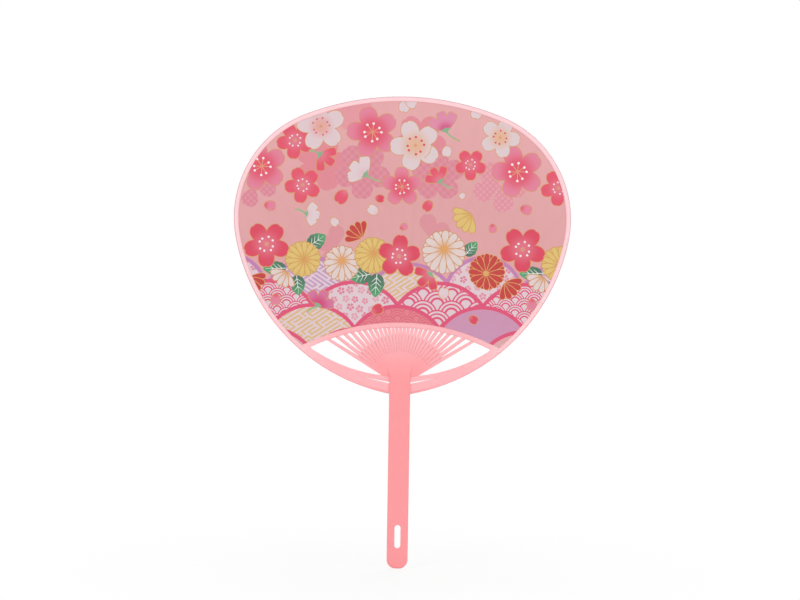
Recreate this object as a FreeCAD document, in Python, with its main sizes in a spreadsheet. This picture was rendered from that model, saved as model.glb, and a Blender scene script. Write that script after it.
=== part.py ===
import FreeCAD, Part
import math
import os

import Sketcher

# A rigid round hand fan. One moulded frame carries everything: a flat handle, a palm that opens
# into a fan of ribs, an arch across the ribs, and a bow whose two horns reach up the head's sides.
# A printed sheet is glued on each face of the ribs, and a folded strip binds the edge of the head.
# The fan stands upright and its front faces -Y. The origin is the middle of the grip.

# Driving dimensions in millimetres and degrees: name, value, meaning.
# A bearing is an angle at an arc's centre, clockwise from straight up.
# The chin is the lowest point of the head's outline, on the fan's middle line.
SIZES = (
    ("fan_length", 336.5, "end of the handle to the top of the head"),
    ("grip_height", 63.0, "end of the handle to the middle of the grip"),
    ("crown_radius", 189.0, "head outline, arc over the top"),
    ("crown_bearing", 22.1, "head outline, where the crown passes into the shoulder"),
    ("shoulder_radius", 78.7, "head outline, arc round the widest part"),
    ("shoulder_bearing", 101.6, "head outline, where the shoulder passes into the jaw"),
    ("jaw_radius", 140.0, "head outline, arc from the side down to the handle"),
    ("ear_bearing", 19.4, "head outline, from the start of the jaw to where the horns of the bow end"),
    ("handle_width", 15.0, "handle across"),
    ("handle_thickness", 3.6, "handle front to back"),
    ("handle_corner", 6.2, "corners of the handle's end"),
    ("handle_rounding", 1.2, "long edges of the handle"),
    ("slot_width", 4.3, "hanging slot across"),
    ("slot_length", 16.7, "hanging slot, end to end"),
    ("slot_height", 14.3, "end of the handle to the hanging slot"),
    ("slot_chamfer", 0.4, "rim of the hanging slot"),
    ("neck_width", 19.0, "where the handle has flattened into the palm, across"),
    ("neck_length", 9.0, "height over which the handle flattens into the palm"),
    ("focus_height", 7.5, "chin to the point where the ribs would meet"),
    ("ribs_each_side", 13, "ribs to each side of the middle one"),
    ("rib_pitch", 3.74, "turn from the middle rib to its neighbour"),
    ("rib_spread", 0.057, "growth of that turn with the square of the rib's number"),
    ("rib_width", 2.3, "rib across, past its root"),
    ("rib_root", 22.0, "length over which a rib narrows from the palm to its own width"),
    ("rib_tip_width", 1.4, "rib across, at the edge of the head"),
    ("rib_thickness", 1.2, "ribs and palm front to back"),
    ("palm_rounding", 0.48, "edges of the palm, where the handle has flattened into it"),
    ("palm_radius", 36.0, "focus to the ends of the gaps between ribs"),
    ("least_gap", 0.2, "narrowest gap that the mould leaves between two ribs"),
    ("groove_radius", 24.0, "focus to the inner ends of the grooves in the palm"),
    ("groove_width", 0.6, "groove between two ribs on the palm, across"),
    ("groove_depth", 0.3, "groove between two ribs on the palm, into each face"),
    ("arch_height", 8.7, "ends of the middle gaps between ribs to the top edge of the arch"),
    ("arch_radius", 150.0, "top edge of the arch"),
    ("arch_width", 3.7, "arch, top edge to lower edge"),
    ("bow_height", 13.5, "chin to the upper edge of the bow"),
    ("bow_end_width", 5.7, "bow across, where the arch meets it"),
    ("cradle_chamfer", 0.45, "edges of arch and bow"),
    ("cradle_corner", 0.8, "inside corners between arch and bow"),
    ("slit_length", 20.5, "slit in each arm of the bow, from the handle's side to its point"),
    ("slit_width", 1.0, "slit in each arm of the bow, at the handle"),
    ("slit_height", 9.0, "chin to the slit, at the handle"),
    ("slit_rise", 4.2, "rise of the slit from the handle to its point"),
    ("rim_width", 3.4, "binding strip and horns, seen from the front"),
    ("sheet_thickness", 0.25, "printed sheet"),
    ("binding_thickness", 0.3, "binding strip"),
    ("binding_fold", 0.7, "rounding of the strip's fold"),
    ("sheet_fit", 0.2, "play round the sheets"),
    ("binding_fit", 0.05, "play between a sheet and the strip folded over it"),
)

# What follows from them: name, formula, meaning.
DERIVED = (
    ("jaw_reach", "(crown_radius - shoulder_radius) * sin(crown_bearing)"
     " + (shoulder_radius - jaw_radius) * sin(shoulder_bearing)", "middle line to the jaw's centre"),
    ("jaw_height", "fan_length - crown_radius + (crown_radius - shoulder_radius) * cos(crown_bearing)"
     " + (shoulder_radius - jaw_radius) * cos(shoulder_bearing)", "end of the handle to the jaw's centre"),
    ("chin_height", "jaw_height - sqrt(jaw_radius ^ 2 - jaw_reach ^ 2)", "end of the handle to the chin"),
)

os.makedirs("parts", exist_ok=True)
doc = FreeCAD.newDocument("round_fan")
sheet = doc.addObject("Spreadsheet::Sheet", "sizes")
for row, (alias, value, meaning) in enumerate(SIZES, start=1):
    sheet.set(f"A{row}", meaning)
    sheet.set(f"B{row}", str(value))
    sheet.setAlias(f"B{row}", alias)
for row, (alias, formula, meaning) in enumerate(DERIVED, start=len(SIZES) + 1):
    sheet.set(f"A{row}", meaning)
    sheet.set(f"B{row}", f"={formula}")
    sheet.setAlias(f"B{row}", alias)
doc.recompute()


def size(alias):
    return float(sheet.get(alias))


def turn(alias):
    return math.radians(size(alias))


def height(alias):
    """A height above the handle's end, measured from the origin instead."""
    return size(alias) - size("grip_height")


def chin_level(alias):
    """A height above the chin, measured from the origin instead."""
    return height("chin_height") + size(alias)


# The cradle is as thick as the bound edge, so that horns and strip run on flush.
EDGE_THICKNESS = (
    "sizes.rib_thickness + 2 * (sizes.sheet_thickness + sizes.binding_fit + sizes.binding_thickness)"
)
edge_thickness = size("rib_thickness") + 2 * (
    size("sheet_thickness") + size("binding_fit") + size("binding_thickness")
)
# Sheets and rib tips stop this far inside the head's outline, within the fold of the strip.
tip_inset = size("binding_thickness") + size("sheet_fit")
# The horns end here on the jaw.
ear = turn("shoulder_bearing") + turn("ear_bearing")
# The handle keeps its full thickness up to the bow's upper edge.
NECK_BASE = "sizes.chin_height + sizes.bow_height - sizes.grip_height"


# Drawing helpers. Sketches lie in the upright plane of the fan: x to the right, y up.

def flip(point):
    return FreeCAD.Vector(-point.x, point.y, 0)


def polar(centre, radius, bearing):
    return centre + FreeCAD.Vector(radius * math.sin(bearing), radius * math.cos(bearing), 0)


def arc(centre, radius, start, end):
    """Arc of a circle between two bearings."""
    circle = Part.Circle(centre, FreeCAD.Vector(0, 0, 1), radius)
    return Part.ArcOfCircle(circle, math.pi / 2 - max(start, end), math.pi / 2 - min(start, end))


def bearing_of(centre, point):
    return math.atan2(point.x - centre.x, point.y - centre.y)


def right_meeting(centre_a, radius_a, centre_b, radius_b):
    """The right-hand one of the two points where two circles cross."""
    apart = centre_b - centre_a
    along = (apart.Length ** 2 + radius_a ** 2 - radius_b ** 2) / (2 * apart.Length)
    across = math.sqrt(radius_a ** 2 - along ** 2)
    direction = apart / apart.Length
    side = FreeCAD.Vector(-direction.y, direction.x, 0) * across
    foot = centre_a + direction * along
    return max(foot + side, foot - side, key=lambda point: point.x)


def new_body(label):
    body = doc.addObject("PartDesign::Body", label)
    body.Label = label
    return body


def origin_plane(body, role):
    return next(feature for feature in body.Origin.OriginFeatures if feature.Role == role)


def new_sketch(body, name, role="XZ_Plane", offset=None):
    """A sketch on one of the body's own planes, moved off it by an expression if one is given."""
    sketch = body.newObject("Sketcher::SketchObject", name)
    sketch.AttachmentSupport = [(origin_plane(body, role), "")]
    sketch.MapMode = "FlatFace"
    if offset:
        sketch.setExpression("AttachmentOffset.Base.z", offset)
    return sketch


def draw_loop(sketch, edges):
    """Adds a closed run of three or more lines and arcs, each joined to the next."""
    first = sketch.GeometryCount
    sketch.addGeometry(edges, False)
    joints = []
    ends = [(i, j) for i in (1, 2) for j in (1, 2)]
    for k in range(len(edges)):
        one = first + k
        two = first + (k + 1) % len(edges)

        def apart(pair):
            return (sketch.getPoint(one, pair[0]) - sketch.getPoint(two, pair[1])).Length

        i, j = min(ends, key=apart)
        joints.append(Sketcher.Constraint("Coincident", one, i, two, j))
    sketch.addConstraint(joints)


def draw_polygon(sketch, points):
    lines = []
    for start, end in zip(points, points[1:] + points[:1]):
        lines.append(Part.LineSegment(start, end))
    draw_loop(sketch, lines)


def dimension(sketch, name, constraint, expression):
    """A named dimension of a sketch, bound to the sheet."""
    index = sketch.addConstraint(constraint)
    sketch.renameConstraint(index, name)
    sketch.setExpression(f"Constraints.{name}", expression)


def pad(body, name, sketch, length, both_sides=True, backwards=False):
    feature = body.newObject("PartDesign::Pad", name)
    feature.Profile = sketch
    feature.SideType = "Symmetric" if both_sides else "One side"
    feature.Reversed = backwards
    feature.setExpression("Length", length)
    doc.recompute()
    return feature


def cut_through(body, name, sketch):
    """Cuts a sketch right through the body, to both sides of its plane."""
    before = body.Shape.Volume
    feature = body.newObject("PartDesign::Pocket", name)
    feature.Profile = sketch
    feature.Type = "ThroughAll"
    feature.SideType = "Symmetric"
    doc.recompute()
    assert body.Shape.Volume < before, f"{name} cuts nothing"
    return feature


def round_edges(body, name, base, edges, radius):
    feature = body.newObject("PartDesign::Fillet", name)
    feature.Base = (base, edges)
    feature.setExpression("Radius", radius)
    doc.recompute()
    return feature


def bevel_edges(body, name, base, edges, width):
    feature = body.newObject("PartDesign::Chamfer", name)
    feature.Base = (base, edges)
    feature.setExpression("Size", width)
    doc.recompute()
    return feature


def face_edges(feature, depth):
    """Names of the edges that lie in the front and back faces, at a distance from the mid-plane."""
    names = []
    for number, edge in enumerate(feature.Shape.Edges, start=1):
        if all(abs(abs(vertex.Y) - depth) < 1e-6 for vertex in edge.Vertexes):
            names.append(f"Edge{number}")
    return names


# The head's outline, right half: three arcs in a row, each tangent to the next.

crown_centre = FreeCAD.Vector(0, height("fan_length") - size("crown_radius"), 0)
shoulder_centre = polar(crown_centre, size("crown_radius") - size("shoulder_radius"), turn("crown_bearing"))
jaw_centre = FreeCAD.Vector(size("jaw_reach"), height("jaw_height"), 0)


def jaw_arcs(inset, start, end):
    """The jaw between two bearings, on the right and on the left."""
    radius = size("jaw_radius") - inset
    return arc(jaw_centre, radius, start, end), arc(flip(jaw_centre), radius, -start, -end)


def head_arcs(inset, jaw_end):
    """The outline from the right jaw over the top to the left jaw, moved inwards by an inset."""
    crown = turn("crown_bearing")
    shoulder = turn("shoulder_bearing")
    right_jaw, left_jaw = jaw_arcs(inset, shoulder, jaw_end)
    return [
        right_jaw,
        arc(shoulder_centre, size("shoulder_radius") - inset, crown, shoulder),
        arc(crown_centre, size("crown_radius") - inset, -crown, crown),
        arc(flip(shoulder_centre), size("shoulder_radius") - inset, -shoulder, -crown),
        left_jaw,
    ]


# Handle: a flat bar with a rounded end, which flattens and widens into the palm, and a slot to hang it by.

def draw_handle(sketch):
    half = size("handle_width") / 2
    corner = size("handle_corner")
    low = -size("grip_height")
    top = chin_level("bow_height")
    at = FreeCAD.Vector
    right_corner = Part.Circle(at(half - corner, low + corner, 0), at(0, 0, 1), corner)
    left_corner = Part.Circle(at(corner - half, low + corner, 0), at(0, 0, 1), corner)
    sketch.addGeometry([
        Part.LineSegment(at(corner - half, low, 0), at(half - corner, low, 0)),
        Part.ArcOfCircle(right_corner, -math.pi / 2, 0),
        Part.LineSegment(at(half, low + corner, 0), at(half, top, 0)),
        Part.LineSegment(at(half, top, 0), at(-half, top, 0)),
        Part.LineSegment(at(-half, top, 0), at(-half, low + corner, 0)),
        Part.ArcOfCircle(left_corner, math.pi, 1.5 * math.pi),
    ], False)
    end, right_arc, right_side, top_line, left_side, left_arc = range(6)
    sketch.addConstraint([
        Sketcher.Constraint("Tangent", end, 2, right_arc, 1),
        Sketcher.Constraint("Tangent", right_arc, 2, right_side, 1),
        Sketcher.Constraint("Coincident", right_side, 2, top_line, 1),
        Sketcher.Constraint("Coincident", top_line, 2, left_side, 1),
        Sketcher.Constraint("Tangent", left_side, 2, left_arc, 1),
        Sketcher.Constraint("Tangent", left_arc, 2, end, 1),
        Sketcher.Constraint("Horizontal", end),
        Sketcher.Constraint("Vertical", right_side),
        Sketcher.Constraint("Vertical", left_side),
        Sketcher.Constraint("Symmetric", top_line, 1, top_line, 2, -2),
        Sketcher.Constraint("Equal", right_arc, left_arc),
    ])
    across = Sketcher.Constraint("DistanceX", top_line, 2, top_line, 1, 2 * half)
    dimension(sketch, "across", across, "sizes.handle_width")
    dimension(sketch, "corner", Sketcher.Constraint("Radius", right_arc, corner), "sizes.handle_corner")
    below = Sketcher.Constraint("DistanceY", end, 1, -1, 1, -low)
    dimension(sketch, "below", below, "sizes.grip_height")
    above = Sketcher.Constraint("DistanceY", -1, 1, top_line, 1, top)
    dimension(sketch, "above", above, NECK_BASE)


def draw_slot(sketch):
    radius = size("slot_width") / 2
    low = height("slot_height") + radius
    high = height("slot_height") + size("slot_length") - radius
    at = FreeCAD.Vector
    sketch.addGeometry([
        Part.LineSegment(at(radius, low, 0), at(radius, high, 0)),
        Part.ArcOfCircle(Part.Circle(at(0, high, 0), at(0, 0, 1), radius), 0, math.pi),
        Part.LineSegment(at(-radius, high, 0), at(-radius, low, 0)),
        Part.ArcOfCircle(Part.Circle(at(0, low, 0), at(0, 0, 1), radius), math.pi, 2 * math.pi),
    ], False)
    right, upper, left, lower = range(4)
    sketch.addConstraint([
        Sketcher.Constraint("Tangent", right, 2, upper, 1),
        Sketcher.Constraint("Tangent", upper, 2, left, 1),
        Sketcher.Constraint("Tangent", left, 2, lower, 1),
        Sketcher.Constraint("Tangent", lower, 2, right, 1),
        Sketcher.Constraint("Equal", upper, lower),
        Sketcher.Constraint("Vertical", right),
        Sketcher.Constraint("PointOnObject", lower, 3, -2),
    ])
    dimension(sketch, "end", Sketcher.Constraint("Radius", upper, radius), "sizes.slot_width / 2")
    span = Sketcher.Constraint("DistanceY", lower, 3, upper, 3, high - low)
    dimension(sketch, "span", span, "sizes.slot_length - sizes.slot_width")
    below = Sketcher.Constraint("DistanceY", lower, 3, -1, 1, -low)
    dimension(sketch, "below", below, "sizes.grip_height - sizes.slot_height - sizes.slot_width / 2")


def draw_rounded_bar(sketch, across, thick, rounding):
    """Cross-section of a flat bar with rounded edges, seen from above."""
    x = across / 2 - rounding
    y = thick / 2 - rounding
    edges = []
    for quarter, (sx, sy) in enumerate(((1, 1), (-1, 1), (-1, -1), (1, -1))):
        centre = FreeCAD.Vector(sx * x, sy * y, 0)
        start = quarter * math.pi / 2
        circle = Part.Circle(centre, FreeCAD.Vector(0, 0, 1), rounding)
        edges.append(Part.ArcOfCircle(circle, start, start + math.pi / 2))
    loop = []
    for edge, following in zip(edges, edges[1:] + edges[:1]):
        loop.append(edge)
        loop.append(Part.LineSegment(edge.EndPoint, following.StartPoint))
    draw_loop(sketch, loop)


def make_handle():
    body = new_body("handle_form")
    outline = new_sketch(body, "handle_outline")
    draw_handle(outline)
    bar = pad(body, "handle_bar", outline, "sizes.handle_thickness")
    long_edges = []
    for name in face_edges(bar, size("handle_thickness") / 2):
        edge = bar.Shape.getElement(name)
        if edge.CenterOfMass.z < chin_level("bow_height") - 1e-6:
            long_edges.append(name)
    round_edges(body, "handle_rounded", bar, long_edges, "sizes.handle_rounding")
    thick_end = new_sketch(body, "neck_start", "XY_Plane", NECK_BASE)
    draw_rounded_bar(thick_end, size("handle_width"), size("handle_thickness"), size("handle_rounding"))
    thin_end = new_sketch(body, "neck_end", "XY_Plane", NECK_BASE + " + sizes.neck_length")
    draw_rounded_bar(thin_end, size("neck_width"), size("rib_thickness"), size("palm_rounding"))
    neck = body.newObject("PartDesign::AdditiveLoft", "neck")
    neck.Profile = thick_end
    neck.Sections = [thin_end]
    neck.Ruled = True
    doc.recompute()
    slot = new_sketch(body, "slot_outline")
    draw_slot(slot)
    hang_slot = cut_through(body, "hang_slot", slot)
    rim = []
    for name in face_edges(hang_slot, size("handle_thickness") / 2):
        box = hang_slot.Shape.getElement(name).BoundBox
        inside = box.XMax < size("slot_width") / 2 + 1e-6 and box.XMin > -size("slot_width") / 2 - 1e-6
        if inside and box.ZMax < height("slot_height") + size("slot_length") + 1e-6:
            if box.ZMin > height("slot_height") - 1e-6:
                rim.append(name)
    bevel_edges(body, "slot_rim", hang_slot, rim, "sizes.slot_chamfer")
    return body


# Rib fan: a plate in the head's outline, with the gaps between its ribs cut out of it.

focus = FreeCAD.Vector(0, chin_level("focus_height"), 0)


def rib_bearing(number):
    """Bearing of a rib, counted from the middle one, negative to the left."""
    count = abs(number)
    spread = turn("rib_pitch") * count + turn("rib_spread") * count ** 2
    return math.copysign(spread, number)


def rib_reach():
    """Length of the middle rib, from the focus to its tip."""
    return height("fan_length") - tip_inset - focus.y


def rib_side(number, radius, side):
    """Point on the right (1) or left (-1) side of a rib, at a radius from the focus."""
    palm = size("palm_radius")
    share = max(0.0, (radius - palm) / (rib_reach() - palm))
    half = (size("rib_width") + (size("rib_tip_width") - size("rib_width")) * share) / 2
    bearing = rib_bearing(number)
    across = FreeCAD.Vector(math.cos(bearing), -math.sin(bearing), 0)
    return polar(focus, radius, bearing) + across * (side * half)


def draw_plate(sketch):
    """The rib fan's outline: down the outer sides of the outermost ribs, and round the tips."""
    last = int(size("ribs_each_side"))
    root = rib_side(last, size("handle_width") / 2, 1)
    palm_corner = rib_side(last, size("palm_radius"), 1)
    far = rib_side(last, rib_reach(), 1)
    direction = (far - palm_corner) / (far - palm_corner).Length
    from_centre = palm_corner - jaw_centre
    radius = size("jaw_radius") - tip_inset
    along = -from_centre.dot(direction)
    tip = palm_corner + direction * (
        along + math.sqrt(along ** 2 - from_centre.Length ** 2 + radius ** 2)
    )
    loop = [
        Part.LineSegment(flip(root), root),
        Part.LineSegment(root, palm_corner),
        Part.LineSegment(palm_corner, tip),
    ]
    loop += head_arcs(tip_inset, bearing_of(jaw_centre, tip))
    loop.append(Part.LineSegment(flip(tip), flip(palm_corner)))
    loop.append(Part.LineSegment(flip(palm_corner), flip(root)))
    draw_loop(sketch, loop)


def draw_gap(sketch, number):
    """The gap between a rib and the next one on its right, from its narrow end out past the head's edge."""
    half_turn = (rib_bearing(number + 1) - rib_bearing(number)) / 2
    opening = (size("rib_width") + size("least_gap")) / (2 * math.sin(half_turn))
    inner = max(size("palm_radius"), opening)
    full = inner + size("rib_root")
    outer = rib_reach() + size("rib_width")
    bearing = rib_bearing(number) + half_turn
    end = polar(focus, inner, bearing)
    across = FreeCAD.Vector(math.cos(bearing), -math.sin(bearing), 0) * (size("least_gap") / 2)
    draw_polygon(sketch, [
        end - across,
        end + across,
        rib_side(number + 1, full, -1),
        rib_side(number + 1, outer, -1),
        rib_side(number, outer, 1),
        rib_side(number, full, 1),
    ])


def draw_groove(sketch, number):
    """The shallow groove that carries a gap on over the palm."""
    bearing = (rib_bearing(number) + rib_bearing(number + 1)) / 2
    across = FreeCAD.Vector(math.cos(bearing), -math.sin(bearing), 0) * (size("groove_width") / 2)
    inner = polar(focus, size("groove_radius"), bearing)
    outer = polar(focus, size("palm_radius"), bearing)
    draw_polygon(sketch, [inner - across, inner + across, outer + across, outer - across])


def make_rib_fan():
    body = new_body("rib_form")
    outline = new_sketch(body, "plate_outline")
    draw_plate(outline)
    pad(body, "rib_plate", outline, "sizes.rib_thickness")
    last = int(size("ribs_each_side"))
    gaps = new_sketch(body, "gap_outlines")
    for number in range(-last, last):
        draw_gap(gaps, number)
    cut_through(body, "gaps", gaps)
    for side, backwards in (("front", False), ("back", True)):
        sign = "-" if backwards else ""
        floor = f"{sign}(sizes.rib_thickness / 2 - sizes.groove_depth)"
        grooves = new_sketch(body, f"{side}_groove_outlines", offset=floor)
        for number in range(-last, last):
            draw_groove(grooves, number)
        before = body.Shape.Volume
        feature = body.newObject("PartDesign::Pocket", f"{side}_grooves")
        feature.Profile = grooves
        feature.Reversed = not backwards
        feature.setExpression("Length", "sizes.groove_depth")
        doc.recompute()
        assert body.Shape.Volume < before, f"{side} grooves cut nothing"
    return body


# Cradle: the bow that closes the head below, its horns up the sides, and the arch across the ribs.

arch_top = focus.y + size("palm_radius") + size("arch_height")
arch_centre = FreeCAD.Vector(0, arch_top - size("arch_radius"), 0)
under_arch = size("arch_radius") - size("arch_width")
# The window beside the ribs ends here, a bow's width inside the head's outline.
window_corner = right_meeting(jaw_centre, size("jaw_radius") - size("bow_end_width"), arch_centre, under_arch)
bow_rise = window_corner.y - chin_level("bow_height")
bow_radius = (window_corner.x ** 2 + bow_rise ** 2) / (2 * bow_rise)
bow_centre = FreeCAD.Vector(0, chin_level("bow_height") + bow_radius, 0)


def draw_cradle(sketch):
    bottom = math.pi + math.asin(jaw_centre.x / size("jaw_radius"))
    right_outer, left_outer = jaw_arcs(0, bottom, ear)
    inner_radius = size("jaw_radius") - size("rim_width")
    armpit = right_meeting(jaw_centre, inner_radius, arch_centre, size("arch_radius"))
    right_inner, left_inner = jaw_arcs(size("rim_width"), ear, bearing_of(jaw_centre, armpit))
    reach = bearing_of(arch_centre, armpit)
    ear_out = polar(jaw_centre, size("jaw_radius"), ear)
    ear_in = polar(jaw_centre, inner_radius, ear)
    draw_loop(sketch, [
        right_outer,
        Part.LineSegment(ear_out, ear_in),
        right_inner,
        arc(arch_centre, size("arch_radius"), -reach, reach),
        left_inner,
        Part.LineSegment(flip(ear_in), flip(ear_out)),
        left_outer,
    ])
    above = bearing_of(arch_centre, window_corner)
    below = bearing_of(bow_centre, window_corner)
    draw_loop(sketch, [
        arc(arch_centre, under_arch, 0, above),
        arc(arch_centre, under_arch, -above, 0),
        arc(bow_centre, bow_radius, -below, -math.pi),
        arc(bow_centre, bow_radius, below, math.pi),
    ])


def draw_slits(sketch):
    """A slit in each arm of the bow, widest at the handle and running out to a point."""
    root = size("handle_width") / 2
    low = chin_level("slit_height") - size("slit_width") / 2
    high = chin_level("slit_height") + size("slit_width") / 2
    point = FreeCAD.Vector(root + size("slit_length"), chin_level("slit_height") + size("slit_rise"), 0)
    for mirror in (False, True):
        corners = [FreeCAD.Vector(root, low, 0), point, FreeCAD.Vector(root, high, 0)]
        if mirror:
            corners = [flip(corner) for corner in corners]
        draw_polygon(sketch, corners)


def make_cradle():
    body = new_body("cradle_form")
    outline = new_sketch(body, "cradle_outline")
    draw_cradle(outline)
    band = pad(body, "cradle_band", outline, EDGE_THICKNESS)
    ear_height = polar(jaw_centre, size("jaw_radius"), ear).y
    corners = []
    for number, edge in enumerate(band.Shape.Edges, start=1):
        box = edge.BoundBox
        upright = box.YLength > edge_thickness - 1e-6
        off_axis = abs(box.XMax) > size("handle_width") / 2
        if upright and off_axis and box.ZMax < ear_height - size("rim_width"):
            corners.append(f"Edge{number}")
    rounded = round_edges(body, "corners", band, corners, "sizes.cradle_corner")
    bevel_edges(body, "rims", rounded, face_edges(rounded, edge_thickness / 2), "sizes.cradle_chamfer")
    slits = new_sketch(body, "slit_outlines")
    draw_slits(slits)
    cut_through(body, "slits", slits)
    return body


def make_frame():
    """Handle, ribs and cradle as the one moulding that they are."""
    frame = doc.addObject("Part::MultiFuse", "moulded_frame")
    frame.Shapes = [make_handle(), make_rib_fan(), make_cradle()]
    frame.Refine = True
    frame.Label = "moulded_frame"
    return frame


# Printed sheets: cut to lie inside arch and horns below, and inside the fold of the strip above.

def draw_sheet(sketch):
    play = size("sheet_fit")
    step = ear - play / size("jaw_radius")
    inner_radius = size("jaw_radius") - size("rim_width") - play
    lower_radius = size("arch_radius") + play
    corner = right_meeting(jaw_centre, inner_radius, arch_centre, lower_radius)
    right_side, left_side = jaw_arcs(size("rim_width") + play, step, bearing_of(jaw_centre, corner))
    reach = bearing_of(arch_centre, corner)
    step_in = polar(jaw_centre, inner_radius, step)
    step_out = polar(jaw_centre, size("jaw_radius") - tip_inset, step)
    loop = [
        arc(arch_centre, lower_radius, -reach, reach),
        right_side,
        Part.LineSegment(step_in, step_out),
    ]
    loop += head_arcs(tip_inset, step)
    loop.append(Part.LineSegment(flip(step_out), flip(step_in)))
    loop.append(left_side)
    draw_loop(sketch, loop)


def make_sheet(label, backwards):
    body = new_body(label)
    sign = "-" if backwards else ""
    outline = new_sketch(body, f"{label}_outline", offset=f"{sign}sizes.rib_thickness / 2")
    draw_sheet(outline)
    pad(body, f"{label}_pad", outline, "sizes.sheet_thickness", both_sides=False, backwards=backwards)
    return body


# Binding: a strip folded over the sheets' edges, run along the outline from ear to ear.

def draw_binding_section(sketch):
    """The folded strip cut at the top of the head: x towards the back, y up."""
    wall = size("binding_thickness")
    outer = edge_thickness / 2
    inner = outer - wall
    top = height("fan_length")
    low = top - size("rim_width")
    fold = size("binding_fold")
    at = FreeCAD.Vector
    back_fold = Part.Circle(at(outer - fold, top - fold, 0), at(0, 0, 1), fold)
    front_fold = Part.Circle(at(fold - outer, top - fold, 0), at(0, 0, 1), fold)
    quarter = math.pi / 2
    draw_loop(sketch, [
        Part.LineSegment(at(inner, low, 0), at(outer, low, 0)),
        Part.LineSegment(at(outer, low, 0), at(outer, top - fold, 0)),
        Part.ArcOfCircle(back_fold, 0, quarter),
        Part.LineSegment(at(outer - fold, top, 0), at(fold - outer, top, 0)),
        Part.ArcOfCircle(front_fold, quarter, 2 * quarter),
        Part.LineSegment(at(-outer, top - fold, 0), at(-outer, low, 0)),
        Part.LineSegment(at(-outer, low, 0), at(-inner, low, 0)),
        Part.LineSegment(at(-inner, low, 0), at(-inner, top - wall, 0)),
        Part.LineSegment(at(-inner, top - wall, 0), at(inner, top - wall, 0)),
        Part.LineSegment(at(inner, top - wall, 0), at(inner, low, 0)),
    ])


def make_binding():
    body = new_body("edge_binding")
    end = ear - size("sheet_fit") / size("jaw_radius")
    path = new_sketch(body, "outline_path")
    crown = turn("crown_bearing")
    shoulder = turn("shoulder_bearing")
    path.addGeometry([
        arc(crown_centre, size("crown_radius"), 0, crown),
        arc(shoulder_centre, size("shoulder_radius"), crown, shoulder),
        arc(jaw_centre, size("jaw_radius"), shoulder, end),
    ], False)
    path.addConstraint([
        Sketcher.Constraint("Coincident", 0, 1, 1, 2),
        Sketcher.Constraint("Coincident", 1, 1, 2, 2),
    ])
    for number, name in enumerate(("crown", "shoulder", "jaw")):
        radius = Sketcher.Constraint("Radius", number, size(f"{name}_radius"))
        dimension(path, f"{name}_arc", radius, f"sizes.{name}_radius")
    section = new_sketch(body, "strip_section", "YZ_Plane")
    draw_binding_section(section)
    doc.recompute()
    half = body.newObject("PartDesign::AdditivePipe", "right_half")
    half.Profile = section
    half.Spine = (path, ["Edge1", "Edge2", "Edge3"])
    doc.recompute()
    whole = body.newObject("PartDesign::Mirrored", "both_halves")
    whole.Originals = [half]
    whole.MirrorPlane = (origin_plane(body, "YZ_Plane"), [""])
    body.Tip = whole
    doc.recompute()
    return body


nodes = [
    make_frame(),
    make_sheet("front_sheet", backwards=False),
    make_sheet("back_sheet", backwards=True),
    make_binding(),
]
doc.recompute()

for item in doc.Objects:
    failed = {"Invalid", "Error"} & set(item.State)
    assert not failed, f"{item.Label} failed: {item.State}"
for node in nodes:
    shape = node.Shape
    assert not shape.isNull() and shape.isValid(), f"{node.Label} has no valid shape"
    assert len(shape.Solids) == 1, f"{node.Label} is {len(shape.Solids)} solids"
    node.Shape.exportStep(f"parts/{node.Label}.step")
    box = shape.optimalBoundingBox()
    print(f"{node.Label}: {shape.Volume:.0f} mm3, {box.XLength:.1f} x {box.YLength:.2f} x {box.ZLength:.1f} mm")
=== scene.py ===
# %% [markdown]
# # A round hand fan
# The fan is a plastic moulding with a printed sheet glued on each face of its ribs, and a strip folded
# over the edge of the sheets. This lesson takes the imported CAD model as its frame, and dresses it:
# a moulded finish, a folded strip that follows the edge, and a print that is drawn shape by shape.

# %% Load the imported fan
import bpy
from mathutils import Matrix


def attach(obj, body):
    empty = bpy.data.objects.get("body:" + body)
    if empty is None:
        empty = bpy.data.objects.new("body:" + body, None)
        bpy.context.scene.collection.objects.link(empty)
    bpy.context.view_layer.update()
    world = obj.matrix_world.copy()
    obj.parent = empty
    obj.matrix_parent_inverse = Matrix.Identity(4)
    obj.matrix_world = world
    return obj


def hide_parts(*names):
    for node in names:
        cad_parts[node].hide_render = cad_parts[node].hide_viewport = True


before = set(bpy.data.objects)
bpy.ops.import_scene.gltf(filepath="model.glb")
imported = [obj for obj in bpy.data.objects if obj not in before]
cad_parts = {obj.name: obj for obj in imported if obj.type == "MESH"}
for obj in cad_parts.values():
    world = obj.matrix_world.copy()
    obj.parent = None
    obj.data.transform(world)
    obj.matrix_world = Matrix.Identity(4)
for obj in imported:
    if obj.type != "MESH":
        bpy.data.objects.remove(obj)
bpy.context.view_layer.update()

import math
from dataclasses import dataclass
from functools import partialmethod

import bmesh
import bpy
import numpy as np
from mathutils import Vector
from mathutils.geometry import delaunay_2d_cdt

print("CAD nodes:", ", ".join(sorted(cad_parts)))

# %% [markdown]
# ## The outline of the head
# The head isn't a circle. Its right half is three arcs, each tangent to the next: the crown over the top,
# the shoulder round the widest part, and the jaw down to the handle. Sheets and strip follow these arcs,
# so they are written down once, in millimetres, and everything is turned into metres when it is built.
# A bearing is an angle at an arc's centre in degrees, clockwise from straight up.

# %% The arcs, and points along them
MM = 0.001
HEAD_TOP = 273.5
CROWN_RADIUS, CROWN_END = 189.0, 22.1
SHOULDER_RADIUS, SHOULDER_END = 78.7, 101.6
JAW_RADIUS, EAR = 140.0, 121.0
ARCH_RADIUS, ARCH_TOP = 150.0, 112.46
RIM_WIDTH = 3.4
TIP_INSET = 0.5
PLAY = 0.2
SEAM = 0.03


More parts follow.
